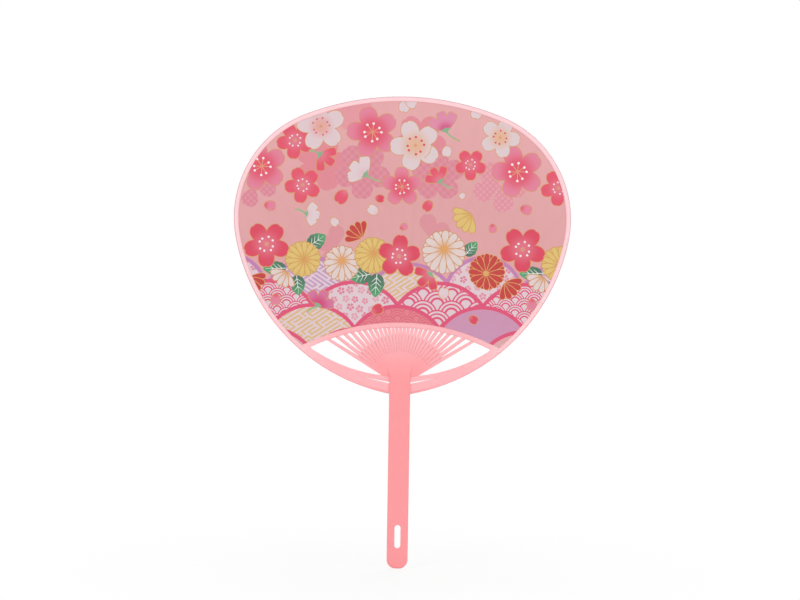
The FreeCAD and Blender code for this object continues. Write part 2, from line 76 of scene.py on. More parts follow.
def swing(centre, radius, bearing):
    """The point at a radius and a bearing from a centre."""
    angle = math.radians(bearing)
    return np.array([centre[0] + radius * math.sin(angle), centre[1] + radius * math.cos(angle)])


def bearing_of(centre, point):
    """The bearing at which a point lies from a centre."""
    return math.degrees(math.atan2(point[0] - centre[0], point[1] - centre[1]))


def arc(centre, radius, start, end, step=1.5):
    """Points along an arc between two bearings."""
    bearings = np.linspace(start, end, max(3, round(abs(end - start) / step) + 1))
    return np.array([swing(centre, radius, bearing) for bearing in bearings])


CROWN = np.array([0.0, HEAD_TOP - CROWN_RADIUS])
SHOULDER = swing(CROWN, CROWN_RADIUS - SHOULDER_RADIUS, CROWN_END)
JAW = swing(SHOULDER, SHOULDER_RADIUS - JAW_RADIUS, SHOULDER_END)
ARCH = np.array([0.0, ARCH_TOP - ARCH_RADIUS])
EAR_STEP = EAR - math.degrees(PLAY / JAW_RADIUS)


def right_edge(inset, jaw_end):
    """The right half of the head's outline, moved inwards, from the top down to a bearing on the jaw."""
    return np.vstack([
        arc(CROWN, CROWN_RADIUS - inset, 0, CROWN_END)[:-1],
        arc(SHOULDER, SHOULDER_RADIUS - inset, CROWN_END, SHOULDER_END)[:-1],
        arc(JAW, JAW_RADIUS - inset, SHOULDER_END, jaw_end),
    ])


def both_sides(right):
    """A right half that starts on the middle line, with its mirror image: left end, top, right end."""
    return np.vstack([right[:0:-1] * (-1, 1), right])


print(f"outline: shoulder centre {SHOULDER.round(2)}, jaw centre {JAW.round(2)}")

# %% [markdown]
# ## Formulas in a material
# A shader is a graph of nodes, and a pattern soon needs dozens of Math nodes. This small class wraps one
# output socket and gives it the usual signs of arithmetic. Every sign adds one Math node to the tree,
# so a pattern can be written as the formula that it is.

# %% A socket that can be calculated with
class Wire:
    def __init__(self, tree, socket):
        self.tree = tree
        self.socket = socket

    def through(self, operation, *others):
        """One Math node, fed with this value and the others."""
        node = self.tree.nodes.new("ShaderNodeMath")
        node.operation = operation
        for slot, value in zip(node.inputs, (self, *others)):
            plug(self.tree, value, slot)
        return Wire(self.tree, node.outputs[0])

    __add__ = partialmethod(through, "ADD")
    __sub__ = partialmethod(through, "SUBTRACT")
    __mul__ = partialmethod(through, "MULTIPLY")
    __truediv__ = partialmethod(through, "DIVIDE")
    __mod__ = partialmethod(through, "FLOORED_MODULO")
    __lt__ = partialmethod(through, "LESS_THAN")
    __gt__ = partialmethod(through, "GREATER_THAN")
    __abs__ = partialmethod(through, "ABSOLUTE")
    floor = partialmethod(through, "FLOOR")
    root = partialmethod(through, "SQRT")

    def clamped(self):
        """The value, held between 0 and 1."""
        return self.through("MAXIMUM", 0.0).through("MINIMUM", 1.0)

    def eased(self):
        """A soft step: flat at 0 and at 1."""
        held = self.clamped()
        return held * held * (held * -2.0 + 3.0)

    def rise(self, start, over):
        """A soft step from 0 to 1 that begins at a start."""
        return ((self - start) / over).eased()

    def fall(self, end, over):
        """A soft step from 1 to 0 that stops at an end."""
        return ((self * -1.0 + end) / over).eased()


def plug(tree, value, slot):
    """Links a wire to a socket, or sets the socket to a plain value."""
    if isinstance(value, Wire):
        tree.links.new(value.socket, slot)
    else:
        slot.default_value = value


def new_node(tree, kind, feeds=None):
    """A node with some inputs fed. Its outputs come back as wires, by name."""
    node = tree.nodes.new(kind)
    for name, value in (feeds or {}).items():
        plug(tree, value, node.inputs[name])
    return {socket.name: Wire(tree, socket) for socket in node.outputs}


def distance(u, v):
    return (u * u + v * v).root()


print("signs of arithmetic add Math nodes")

# %% Colours, empty finishes, noise and bumps
MIX_ONE, MIX_TWO, MIX_RESULT = 6, 7, 2


def colour(code):
    """Linear red, green, blue and alpha of a colour written as on a screen."""
    channels = [int(code[k:k + 2], 16) / 255 for k in (1, 3, 5)]
    linear = [c / 12.92 if c <= 0.04045 else ((c + 0.055) / 1.055) ** 2.4 for c in channels]
    return (*linear, 1.0)


def split(wire):
    """The three numbers of a vector, each as a wire."""
    return new_node(wire.tree, "ShaderNodeSeparateXYZ", {"Vector": wire}).values()


def attribute(tree, name, output):
    """A value that a mesh brings along."""
    node = tree.nodes.new("ShaderNodeAttribute")
    node.attribute_name = name
    return Wire(tree, node.outputs[output])


def blend(tree, share, one, two):
    """Two colours mixed by a share. Each is a wire or a colour."""
    node = tree.nodes.new("ShaderNodeMix")
    node.data_type = "RGBA"
    plug(tree, share, node.inputs["Factor"])
    plug(tree, one, node.inputs[MIX_ONE])
    plug(tree, two, node.inputs[MIX_TWO])
    return Wire(tree, node.outputs[MIX_RESULT])


def new_finish(name):
    """An empty material: its tree, its shader, and wires for the place on the piece in metres."""
    material = bpy.data.materials.new(name)
    material.use_nodes = True
    tree = material.node_tree
    shader = tree.nodes["Principled BSDF"]
    place = new_node(tree, "ShaderNodeTexCoord")["Object"]
    return material, tree, shader, place, split(place)


def noise(tree, place, scale, detail=2.0):
    """A soft random pattern from 0 to 1."""
    return new_node(tree, "ShaderNodeTexNoise", {"Vector": place, "Scale": scale, "Detail": detail})["Fac"]


def add_grain(tree, shader, place, scale, detail, least, most):
    """A fine grain. The roughness follows it, from the least to the most."""
    grain = noise(tree, place, scale, detail)
    plug(tree, grain * (most - least) + least, shader.inputs["Roughness"])
    return grain


def raise_by(tree, shader, height, depth):
    """Bump: makes a height from 0 to 1 stand up by a depth in metres."""
    bump = new_node(tree, "ShaderNodeBump", {"Height": height, "Distance": depth})
    plug(tree, bump["Normal"], shader.inputs["Normal"])


print("helpers for materials are ready")

# %% [markdown]
# ## The moulded frame
# Handle, ribs, arch and bow come out of one mould, in a pink plastic that lets a little light through.
# Handle and palm look deeper in colour, ribs and bow look paler. The horns at the sides are palest, partly
# the thin plastic's own tone and partly a painted highlight on their bevelled edge. A deeper line of
# painted shade runs along the outer edge of bow and horns, broader by the handle, where the rounded edge
# turns from the light. The CAD node has the exact shape, but its mesh is loose triangles. A merged copy
# takes smooth shading, so the copy stands for it.

# %% Moulded pink plastic
# Deep and pale are the plastic's own tones; deep is also the painted shade along the bow's outer edge by
# the handle. The thin tone is partly a painted highlight on the horns' bevelled edge, and the edge tone is
# painted shade.
PLASTIC_DEEP_AND_EDGE_SHADE = colour("#ff9ca0")
PLASTIC_PALE = colour("#ffb6bb")
PLASTIC_THIN_AND_HIGHLIT = colour("#ffced2")
PLASTIC_EDGE_SHADE = colour("#f7a3ab")
SIDE_START, SIDE_FADE = 0.0066, 0.030
RIB_START, RIB_FADE = 0.072, 0.032
# Widths and share of the painted shade along the outer edge of bow and horns.
EDGE_SHADE_WIDTH, BOW_EDGE_SHADE_WIDTH, EDGE_SHADE_SHARE = 0.9, 2.3, 0.9
HANDLE_EDGE, BOW_FADE = 0.0075, 0.0015
BOW_WIDTH, BOW_MARGIN = 12.0, 0.1
CLOUDINESS = 0.24


def make_plastic():
    material, tree, shader, place, (x, _, z) = new_finish("moulded pink plastic")
    beside = (abs(x) - SIDE_START) / SIDE_FADE
    above = (z - RIB_START) / RIB_FADE
    outward = distance(abs(x) - JAW[0] * MM, z - JAW[1] * MM) / MM
    off_handle = ((abs(x) - HANDLE_EDGE) / BOW_FADE).clamped() * (outward < JAW_RADIUS + BOW_MARGIN)
    bow = outward.rise(JAW_RADIUS - BOW_WIDTH, over=1.0) * off_handle
    thin = beside.clamped().through("MAXIMUM", above.clamped()).eased().through("MAXIMUM", bow)
    clouds = noise(tree, place, scale=60.0) * CLOUDINESS - CLOUDINESS / 2
    tint = blend(tree, (thin + clouds).clamped(), PLASTIC_DEEP_AND_EDGE_SHADE, PLASTIC_PALE)
    # Towards the sides the plastic turns palest: partly its thin tone, partly a painted highlight on the
    # horns' bevelled edge.
    tint = blend(tree, abs(x).rise(start=0.040, over=0.052), tint, PLASTIC_THIN_AND_HIGHLIT)
    # Painted shade: a deeper line along the outer edge of bow and horns, broad and deep by the handle,
    # narrow further out.
    by_handle = (beside * -1.0 + 1.0).clamped()
    edge_shades = ((PLASTIC_EDGE_SHADE, EDGE_SHADE_WIDTH, beside.clamped()), (PLASTIC_DEEP_AND_EDGE_SHADE, BOW_EDGE_SHADE_WIDTH, by_handle))
    for ink, width, share in edge_shades:
        edge_shade = outward.rise(JAW_RADIUS - width, over=0.5 * width) * off_handle
        tint = blend(tree, edge_shade * share * EDGE_SHADE_SHARE, tint, ink)
    plug(tree, tint, shader.inputs["Base Color"])
    grain = add_grain(tree, shader, place, scale=2600.0, detail=3.0, least=0.36, most=0.50)
    shader.inputs["Subsurface Weight"].default_value = 0.12
    shader.inputs["Subsurface Scale"].default_value = 0.002
    shader.inputs["Subsurface Radius"].default_value = (1.0, 0.45, 0.4)
    raise_by(tree, shader, grain, depth=0.00002)
    return material


plastic = make_plastic()
print("made", plastic.name)

# %% The moulding itself
WELD = 0.000001
MOULDING_SHARP = math.radians(28)


def put(name, data):
    thing = bpy.data.objects.new(name, data)
    bpy.context.collection.objects.link(thing)
    return thing


def made_by_modifiers(carrier):
    """The mesh that an object's modifiers make. The object itself is removed again."""
    depsgraph = bpy.context.evaluated_depsgraph_get()
    mesh = bpy.data.meshes.new_from_object(carrier.evaluated_get(depsgraph))
    bpy.data.objects.remove(carrier)
    return mesh


def add_piece(name, mesh, material, node):
    """Puts a finished mesh in the scene, in place of the CAD node that it dresses."""
    mesh.materials.clear()
    mesh.materials.append(material)
    piece = put(name, mesh)
    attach(piece, "root")
    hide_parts(node)
    print(f"{name}: {len(mesh.polygons)} faces")


def merged_copy(node):
    """A copy of a CAD node's mesh with its loose triangles joined, and with flat faces that look flat."""
    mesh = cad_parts[node].data.copy()
    work = bmesh.new()
    work.from_mesh(mesh)
    bmesh.ops.remove_doubles(work, verts=work.verts, dist=WELD)
    bmesh.ops.dissolve_degenerate(work, edges=work.edges, dist=WELD)
    work.to_mesh(mesh)
    work.free()
    mesh.shade_smooth()
    mesh.set_sharp_from_angle(angle=MOULDING_SHARP)
    carrier = put("carrier", mesh)
    weigh = carrier.modifiers.new("large faces first", "WEIGHTED_NORMAL")
    weigh.weight = 100
    weigh.keep_sharp = True
    return made_by_modifiers(carrier)


add_piece("fan_moulding", merged_copy("moulded_frame"), plastic, "moulded_frame")

# %% [markdown]
# ## The folded strip
# A strip of pale film is folded over the edge of the sheets, from ear to ear. It is one cross-section
# pushed along one path, which is what Curve to Mesh does in Geometry Nodes. The path is the outline,
# the section is a U with a soft fold. The section keeps how far in each of its points lies, so that
# the finish can colour the strip across its width.

# %% Path and section
EDGE_HALF = 1.2
WALL = 0.3
FOLD = 0.7
LIP = 0.1


def fillet(centre, radius, start, end, steps=5):
    return arc(centre, radius, start, end, abs(end - start) / steps)


def strip_section():
    """The folded strip cut across: first number from the outline inwards, second towards the back."""
    fold = fillet((FOLD, EDGE_HALF - FOLD), FOLD, -90, 0)
    lip = fillet((RIM_WIDTH - LIP, EDGE_HALF - LIP), LIP, 0, 90, 2)
    inner = np.array([(RIM_WIDTH, EDGE_HALF - WALL), (WALL, EDGE_HALF - WALL)])
    back = np.vstack([fold, lip, inner])
    return np.vstack([back, back[::-1] * (1, -1)])


def new_curve(name, points, closed):
    """A curve of straight runs in its own flat plane."""
    curve = bpy.data.curves.new(name, "CURVE")
    curve.dimensions = "2D"
    spline = curve.splines.new("POLY")
    spline.points.add(len(points) - 1)
    for point, (u, v) in zip(spline.points, points):
        point.co = (u, v, 0.0, 1.0)
    spline.use_cyclic_u = closed
    return put(name, curve)


strip_path = new_curve("strip_path", both_sides(right_edge(0.0, EAR_STEP)) * MM, False)
strip_shape = new_curve("strip_shape", strip_section() * MM, True)
print(f"path of {len(strip_path.data.splines[0].points)} points")

# %% Pale film, with painted shade beside its fold and along its lip
FILM = colour("#ffd5d8")
FILM_FOLD_SHADE = colour("#d694a4")
FILM_LIP_SHADE = colour("#fabdc3")
LIP_SHADE_WIDTH, LIP_SHADE_SHARE = 0.75, 0.8
FILM_CLOUDINESS = 0.10


def make_film():
    material, tree, shader, place, _ = new_finish("pale binding film")
    depth = attribute(tree, "inward", "Fac") / MM
    # Painted shade: deeper beside the fold and along the lip, where the film's rounded edges turn from the
    # light.
    fold_shade = depth.fall(end=0.75, over=0.5) * depth.rise(start=0.02, over=0.10)
    lip_shade = depth.rise(RIM_WIDTH - LIP_SHADE_WIDTH, over=0.4)
    clouds = noise(tree, place, scale=90.0) * FILM_CLOUDINESS
    tint = blend(tree, (fold_shade + clouds).clamped(), FILM, FILM_FOLD_SHADE)
    plug(tree, blend(tree, lip_shade * LIP_SHADE_SHARE, tint, FILM_LIP_SHADE), shader.inputs["Base Color"])
    grain = add_grain(tree, shader, place, scale=1800.0, detail=3.0, least=0.30, most=0.42)
    raise_by(tree, shader, grain, depth=0.00001)
    return material


film = make_film()
print("made", film.name)

# %% A node tree that pushes the section along the path
STRIP_INPUTS = {"Path": "Object", "Section": "Object", "Upright turn": "Float", "Finish": "Material"}


def strip_tree():
    """A node tree that sweeps a section along a path in the ground plane, and stands the result upright."""
    tree = bpy.data.node_groups.new("folded strip along an edge", "GeometryNodeTree")
    sockets = {}
    for name, kind in STRIP_INPUTS.items():
        socket = tree.interface.new_socket(name, in_out="INPUT", socket_type=f"NodeSocket{kind}")
        sockets[name] = socket.identifier
    tree.interface.new_socket("Strip", in_out="OUTPUT", socket_type="NodeSocketGeometry")
    entry = new_node(tree, "NodeGroupInput")
    path = new_node(tree, "GeometryNodeObjectInfo", {"Object": entry["Path"]})
    section = new_node(tree, "GeometryNodeObjectInfo", {"Object": entry["Section"]})
    inward, _, _ = split(new_node(tree, "GeometryNodeInputPosition")["Position"])
    marked = new_node(tree, "GeometryNodeStoreNamedAttribute", {
        "Geometry": section["Geometry"], "Name": "inward", "Value": inward,
    })
    sweep = new_node(tree, "GeometryNodeCurveToMesh", {
        "Curve": path["Geometry"], "Profile Curve": marked["Geometry"], "Fill Caps": True,
    })
    turn = new_node(tree, "ShaderNodeCombineXYZ", {"X": entry["Upright turn"]})["Vector"]
    stand = new_node(tree, "GeometryNodeTransform", {"Geometry": sweep["Mesh"], "Rotation": turn})
    real = new_node(tree, "GeometryNodeRealizeInstances", {"Geometry": stand["Geometry"]})
    paint = new_node(tree, "GeometryNodeSetMaterial", {
        "Geometry": real["Geometry"], "Material": entry["Finish"],
    })
    new_node(tree, "NodeGroupOutput", {"Strip": paint["Geometry"]})
    return tree, sockets


tree, sockets = strip_tree()
print("node tree of", len(tree.nodes), "nodes")

# %% Sweep the strip
STRIP_SHARP = math.radians(40)
strip_values = {
    "Path": strip_path, "Section": strip_shape, "Upright turn": math.radians(90), "Finish": film,
}
carrier = put("carrier", bpy.data.meshes.new("carrier"))
modifier = carrier.modifiers.new("nodes", "NODES")
modifier.node_group = tree
for name, value in strip_values.items():
    modifier[sockets[name]] = value
strip = made_by_modifiers(carrier)
for guide in (strip_path, strip_shape):
    bpy.data.objects.remove(guide)
strip.shade_smooth()
strip.set_sharp_from_angle(angle=STRIP_SHARP)
corners = np.array([vertex.co for vertex in strip.vertices])
print("strip from", corners.min(axis=0).round(4), "to", corners.max(axis=0).round(4))
add_piece("fan_binding", strip, film, "edge_binding")

# %% [markdown]
# ## The print
# Old patterns fill the sheet: cherry blossoms over pale shadows of blossoms, chrysanthemums, and rows of
# mounds with sea waves, key frets and small flowers in them. It could be painted on an image, but here it
# is drawn as flat shapes, each laid over the last like cut paper. Later all shapes are cut along each
# other's edges into one sheet of triangles, and each triangle keeps the ink of the topmost shape.

# %% Laying one shape over another
FADE, WAVES, CHECKER, LATTICE = range(4)
PLAIN = (FADE, 1.0)
shapes = []


@dataclass(eq=False)
class Shape:
    """One flat shape of the print. Its ink fades from the first colour to the second round a centre."""
    points: np.ndarray
    ink: str
    rim_ink: str
    centre: tuple = (0.0, 0.0)
    fade: tuple = (0.0, 1.0)
    motif: tuple = PLAIN
    within: object = None


def lay(points, ink, rim_ink=None, *details, **named_details):
    """Lays a shape on top of all the shapes before it."""
    shape = Shape(np.asarray(points, dtype=float), ink, rim_ink or ink, *details, **named_details)
    shapes.append(shape)
    return shape


def place(points, at, scale=1.0, turn=0.0):
    """Moves a drawing to its place, scaled, and turned clockwise from upright in degrees."""
    u, v = (np.asarray(points, dtype=float) * scale).T
    angle = math.radians(turn)
    x = at[0] + u * math.cos(angle) + v * math.sin(angle)
    z = at[1] - u * math.sin(angle) + v * math.cos(angle)
    return np.column_stack([x, z])


print("the print starts with", len(shapes), "shapes")

# %% Outlines and brush lines
TINY = 1e-9


def ring(radius, corners):
    """A round outline with a number of corners."""
    angle = np.linspace(0, 2 * math.pi, corners, endpoint=False)
    return np.column_stack([radius * np.cos(angle), radius * np.sin(angle)])


def swell(points, width):
    """A closed outline, pushed outwards by a width."""
    after = np.roll(points, -1, axis=0) - points
    before = points - np.roll(points, 1, axis=0)
    after /= np.linalg.norm(after, axis=1)[:, None]
    before /= np.linalg.norm(before, axis=1)[:, None]
    along = after + before
    along /= np.maximum(np.linalg.norm(along, axis=1), TINY)[:, None]
    outward = np.column_stack([along[:, 1], -along[:, 0]])
    x, z = points.T
    clockwise = np.sum(x * np.roll(z, -1) - z * np.roll(x, -1)) < 0
    return points + outward * (-width if clockwise else width)


def bezier(start, lean, draw, end, steps):
    """Points of a Bezier curve, without its end."""
    t = np.linspace(0, 1, steps, endpoint=False)[:, None]
    start, lean, draw, end = (np.asarray(point, dtype=float) for point in (start, lean, draw, end))
    return (1 - t) ** 3 * start + 3 * (1 - t) ** 2 * t * lean + 3 * (1 - t) * t ** 2 * draw + t ** 3 * end


def mirrored(right):
    """A right-hand outline from foot to tip, closed with its mirror image."""
    left = right[::-1] * (-1, 1)
    return np.vstack([right, left[left[:, 0] < -TINY]])


def stroke(path, foot, tip):
    """A brush line: a strip along a path, from one width to another."""
    path = np.asarray(path, dtype=float)
    along = np.gradient(path, axis=0)
    along /= np.linalg.norm(along, axis=1)[:, None]
    across = np.column_stack([along[:, 1], -along[:, 0]])
    half = np.linspace(foot, tip, len(path))[:, None] / 2
    return np.vstack([path + across * half, (path - across * half)[::-1]])


def bowed(start, end, bend, steps=7):
    """A path from one point to another that bows sideways by a share of its length."""
    start, end = np.asarray(start, dtype=float), np.asarray(end, dtype=float)
    t = np.linspace(0, 1, steps)[:, None]
    along = end - start
    return start + along * t + np.array([along[1], -along[0]]) * (4 * bend * t * (1 - t))


print("drawing tools are ready")

# %% [markdown]
# ### Cherry blossoms
# Five petals with a notch in each tip, a fine gold outline, and a ring of stamens. Seen from the side,
# a blossom shows three petals, a green cup and mostly a stalk. Each kind has two inks, so that a petal
# is deep at its foot and pale at its tip, or the other way round.

# %% Inks and petals
GOLD = "#d39857"
OUTLINE = 0.45
BLOSSOM_INKS = {
    "red": ("#dd7485", "#e14f68", (0.10, 0.75)),
    "crimson": ("#dc6f80", "#d9415b", (0.10, 0.80)),
    "pink": ("#de5068", "#df7f98", (0.25, 0.90)),
    "white": ("#e0b298", "#dcc8cb", (0.15, 0.75)),
    "rosy": ("#dfa39e", "#dec6ca", (0.10, 0.65)),
    "blush": ("#dfbcc2", "#dec9cd", (0.10, 0.60)),
    "violet": ("#d04f82", "#db89a6", (0.10, 0.65)),
    "magenta": ("#d04274", "#d17099", (0.15, 0.85)),
}
STAMENS = {
    "red": ("#f4e4e8", 8, 0.32, 0.050, 0.0), "crimson": ("#f4e4e8", 8, 0.32, 0.052, 0.0),
    "pink": ("#f6e8ea", 8, 0.335, 0.050, 0.022), "white": ("#d6405c", 8, 0.33, 0.050, 0.022),
    "rosy": ("#dd5f7d", 9, 0.34, 0.044, 0.020),
}
SWAY = ((0, 1.0), (6, 0.93), (-6, 1.04), (4, 0.97), (-5, 1.07), (6, 1.0), (-7, 0.95), (2, 1.05))
FIFTH = 72
PETAL_HALF = 0.35
TOUCH = 0.41
NOTCH = 0.03
SIDE_PETAL = mirrored(np.array([
    (0.12, 0.0), (0.22, 0.28), (0.28, 0.54), (0.30, 0.74),
    (0.27, 0.91), (0.19, 0.99), (0.09, 0.96), (0.0, 1.0),
]))
FALLEN_PETAL = mirrored(np.vstack([
    bezier((0.0, 0.0), (0.26, 0.04), (0.42, 0.30), (0.42, 0.58), 6),
    bezier((0.42, 0.58), (0.42, 0.84), (0.28, 1.0), (0.10, 1.0), 5),
    [(0.10, 1.0), (0.0, 0.90)],
]))
CUP = mirrored(np.array([(0.0, -0.20), (0.10, -0.11), (0.30, 0.05), (0.10, 0.08), (0.0, 0.12)]))


def petal(width):
    """A petal of length 1 that points up: it touches its neighbours, then rounds to a notched tip."""
    side = TOUCH * math.tan(math.radians(FIFTH / 2))
    return mirrored(np.vstack([
        [(0.0, 0.0)],
        bezier((side, TOUCH), (side + 0.04, TOUCH + 0.04), (width, 0.50), (width, 0.64), 5),
        bezier((width, 0.64), (width, 0.84), (0.60 * width, 1.0), (0.20 * width, 1.0), 6),
        [(0.20 * width, 1.0), (0.0, 1 - NOTCH)],
    ]))


def ink_together(kind, outlines, centre, radius, fade=None):
    """Petals of one flower: one gold line round them all, and an ink that fades outwards."""
    foot_ink, tip_ink, own_fade = BLOSSOM_INKS[kind]
    start, end = fade or own_fade
    for outline in outlines:
        lay(swell(outline, OUTLINE), GOLD)
    for outline in outlines:
        lay(outline, foot_ink, tip_ink, centre, (start * radius, end * radius))


print(len(BLOSSOM_INKS), "kinds of blossom")

# %% Blossoms from the front and from the side
THREAD_INK, EYE_INK = "#e3ab78", "#d9937a"
EYE, THREADED_EYE = 0.10, 0.06
STALK_INKS, STALK_FADE = ("#94b38a", "#b9ad80"), (4.0, 12.0)
STALK_WIDTHS, STALK_BEND, STALK_ROOT = (1.2, 1.4), 0.08, -0.12
CUP_INKS = ("#86ac87", "#93b490")
FALLEN_FADE = (0.0, 0.55)


def blossom(kind, x, z, radius, turn):
    """A whole blossom. Its stamens sway a little, and some kinds have a thread to each of them."""
    form = petal(PETAL_HALF)
    ink_together(kind, [place(form, (x, z), radius, turn + FIFTH * k) for k in range(5)], (x, z), radius)
    ink, count, reach, dot, thread = STAMENS[kind]
    for k in range(count):
        lean, stretch = SWAY[k % len(SWAY)]
        head = swing((x, z), radius * reach * stretch, turn + 360 / count * (k + 0.5) + lean)
        if thread:
            lay(stroke([(x, z), head], thread * radius, thread * radius), THREAD_INK)
        lay(place(ring(dot * radius, 10), head), ink)
    lay(place(ring((THREADED_EYE if thread else EYE) * radius, 12), (x, z)), EYE_INK)


def half_blossom(kind, foot, radius, bearings, stalk_end, broad=1.0):
    """A blossom from the side: petals in a fan from one foot, a green cup, and a stalk if it has one."""
    middle = bearings[1]
    if stalk_end:
        root = swing(foot, STALK_ROOT * radius, middle)
        lay(stroke(bowed(root, stalk_end, STALK_BEND), *STALK_WIDTHS), *STALK_INKS, foot, STALK_FADE)
    form = SIDE_PETAL * (broad, 1.0)
    ink_together(kind, [place(form, foot, radius, bearing) for bearing in bearings], foot, radius)
    lay(place(CUP, foot, radius, middle), *CUP_INKS, foot, (0.0, radius))


def falling_petal(kind, x, z, radius, turn):
    foot = swing((x, z), -radius, turn)
    ink_together(kind, [place(FALLEN_PETAL, foot, 2 * radius, turn)], foot, 2 * radius, FALLEN_FADE)


print(len(STAMENS), "kinds have stamens")

# %% [markdown]
# ### Chrysanthemums and leaves
# A chrysanthemum is a wheel of long oval petals with the tips of a second wheel between them. From the
# side it is a fan of a few petals. The leaves are lobed, dark at the foot, with pale veins.

# %% Chrysanthemums
RAY_INKS = {
    "yellow": ("#d9ad62", "#ddbc6f", "#c99550", 0.5),
    "white": ("#dcae86", "#dfccc8", "#cc8d56", 0.55),
    "red": ("#c2423a", "#c13a37", "#dba764", 0.42),
}
HEARTS = {"yellow": ("#d8995a", 0.15), "white": ("#dc9d5e", 0.19), "red": ("#d9a560", 0.16)}
RAY_FADE, RAY_SHARE, HALF_RAY = (0.1, 0.6), 0.57, 0.16
WHEELS = ((0.5, 0.97), (0.0, 1.0))


def ray(half):
    """A chrysanthemum's petal of length 1: narrow foot, broadest at three quarters, round tip."""
    return mirrored(np.vstack([
        bezier((0.012, 0.08), (0.5 * half, 0.35), (half, 0.52), (half, 0.76), 4),
        bezier((half, 0.76), (half, 0.92), (0.6 * half, 1.0), (0.0, 1.0), 5),
        [(0.0, 1.0)],
    ]))


def inked_ray(kind, at, length, turn, half, radius):
    outline = place(ray(half), at, length, turn)
    foot_ink, tip_ink, line_ink, line = RAY_INKS[kind]
    lay(swell(outline, line), line_ink)
    lay(outline, foot_ink, tip_ink, at, tuple(radius * end for end in RAY_FADE))


def chrysanthemum(kind, x, z, radius, turn, count, off=(0.0, 0.0)):
    """Two wheels of petals. They spring from a heart that may lie off the middle."""
    root = np.array([x + off[0], z + off[1]])
    half = RAY_SHARE * radius * math.tan(math.pi / count)
    for wheel, reach in WHEELS:
        for k in range(count):
            tip = swing((x, z), reach * radius, turn + 360 / count * (k + wheel))
            length = np.linalg.norm(tip - root)
            inked_ray(kind, root, length, bearing_of(root, tip), half / length, radius)
    ink, share = HEARTS[kind]
    lay(place(ring(share * radius, 16), root), ink)


def half_chrysanthemum(kind, x, z, radius, turn, spread, count=5):
    """A chrysanthemum from the side: a fan of petals, the middle one on top."""
    for k in sorted(range(count), key=lambda k: -abs(k - (count - 1) / 2)):
        lean = (k / (count - 1) - 0.5) * spread
        inked_ray(kind, (x, z), radius, turn + lean, HALF_RAY, radius)


print(len(RAY_INKS), "kinds of chrysanthemum")

# %% Leaves
LEAF_INKS, VEIN_INK = ("#48705a", "#55a06a"), "#dfe6df"
LEAF_FADE, LOBES, LOBE_DEPTH = 0.30, 3.5, 0.10
VEINS, VEIN_RISE = ((0.18, 0.62), (0.36, 0.66), (0.56, 0.52)), 0.20
VEIN_FOOT, VEIN_TIP = 0.036, 0.014


def leaf(x, z, length, turn, half):
    """A lobed leaf that points up from its foot."""
    t = np.linspace(0.02, 0.98, 24)
    lobes = 1 + LOBE_DEPTH * np.abs(np.sin(math.pi * LOBES * t)) - LOBE_DEPTH / 2
    right = np.column_stack([half * np.sin(math.pi * t ** 0.8) ** 0.7 * lobes, t])
    outline = place(mirrored(np.vstack([[(0, 0)], right, [(0, 1)]])), (x, z), length, turn)
    lay(outline, *LEAF_INKS, (x, z), (LEAF_FADE * length, length))
    veins = [[(0, 0.02), (0, 0.90)]]
    for low, out in VEINS:
        for side in (-1, 1):
            veins.append([(0, low), (side * half * out, low + VEIN_RISE)])
    for vein in veins:
        lay(stroke(place(vein, (x, z), length, turn), VEIN_FOOT * length, VEIN_TIP * length), VEIN_INK)


print("leaves with", 1 + 2 * len(VEINS), "veins")

# %% [markdown]
# ### Shadows and mounds
# Behind the flowers lie large blossoms printed tone on tone, plain, with squares, or with a lattice.
# At the foot are rows of round mounds. The waves, squares and lattices repeat by a simple rule, so their
# shape only carries a number that tells the finish which formula to use. Frets and small flowers are drawn.

# %% Tone-on-tone blossoms
SHADOW_INKS = {
    "plain": ("#dd8491", "#de8692", PLAIN),
    "faint": ("#d98f97", "#d98f97", PLAIN),
    "pale": ("#e2959d", "#e2959d", PLAIN),
    "checker": ("#da8d99", "#d78191", (CHECKER, 2.9)),
    "lattice": ("#df8f9d", "#d68092", (LATTICE, 4.4)),
    "pale_lattice": ("#e39ba6", "#db8c99", (LATTICE, 4.4)),
}
SHADOW_HALF = 0.385
SHADOWS = [
    ("plain", -58, 225, 20, range(16, 360, FIFTH)),
    ("plain", 12, 243, 18.5, range(36, 360, FIFTH)),
    ("pale", -36, 262, 14, range(0, 360, FIFTH)),
    ("faint", -46, 166, 15, (-5, -77, -149)),
    ("faint", 19, 174, 16, (-4, 66)),
    ("checker", -29, 220, 20, range(36, 360, FIFTH)),
    ("checker", 25, 218, 19, range(0, 360, FIFTH)),
    ("pale_lattice", 68.8, 210.8, 19, (250, 166, 94, 322)),
    ("lattice", -105.7, 208.3, 15.5, (199, 100)),
]


def shadow(kind, x, z, radius, bearings):
    ink, second, motif = SHADOW_INKS[kind]
    for bearing in bearings:
        lay(place(petal(SHADOW_HALF), (x, z), radius, bearing), ink, second, (x, z), motif=motif)


for entry in SHADOWS:
    shadow(*entry)
print(len(shapes), "shapes of shadow blossoms")

# %% Key frets and strewn flowers
MOUND_RADIUS = 38.0
FRET_UNIT, FRET_LINE, FRET_SLOPE = 2.95, 1.3, math.radians(33)
FRET_PERIOD, FRET_RISE = 8, 4
FRET_RUNS = [
    [(0, 0), (7.2, 0)],
    [(3, 2), (1, 2), (1, 1), (4, 1), (4, 3), (7, 3), (7, 2), (5, 2)],
    [(5, 1), (8, 1), (8, 0)],
    [(0, 2), (0, 3), (3, 3)],
]
FLAKE = mirrored(np.array([(0.06, 0.18), (0.33, 0.60), (0.25, 0.98), (0.0, 0.86)]))
FLOWER_INKS = ("#dc869b", "#df9aa8", "#da7891")
FLOWER_STEP, FLOWER_RISE = 7.2, 0.84
FLOWER_LEAST, FLOWER_MOST = (-1.0, -1.0, 2.4, 0.0), (1.0, 1.0, 3.1, FIFTH)


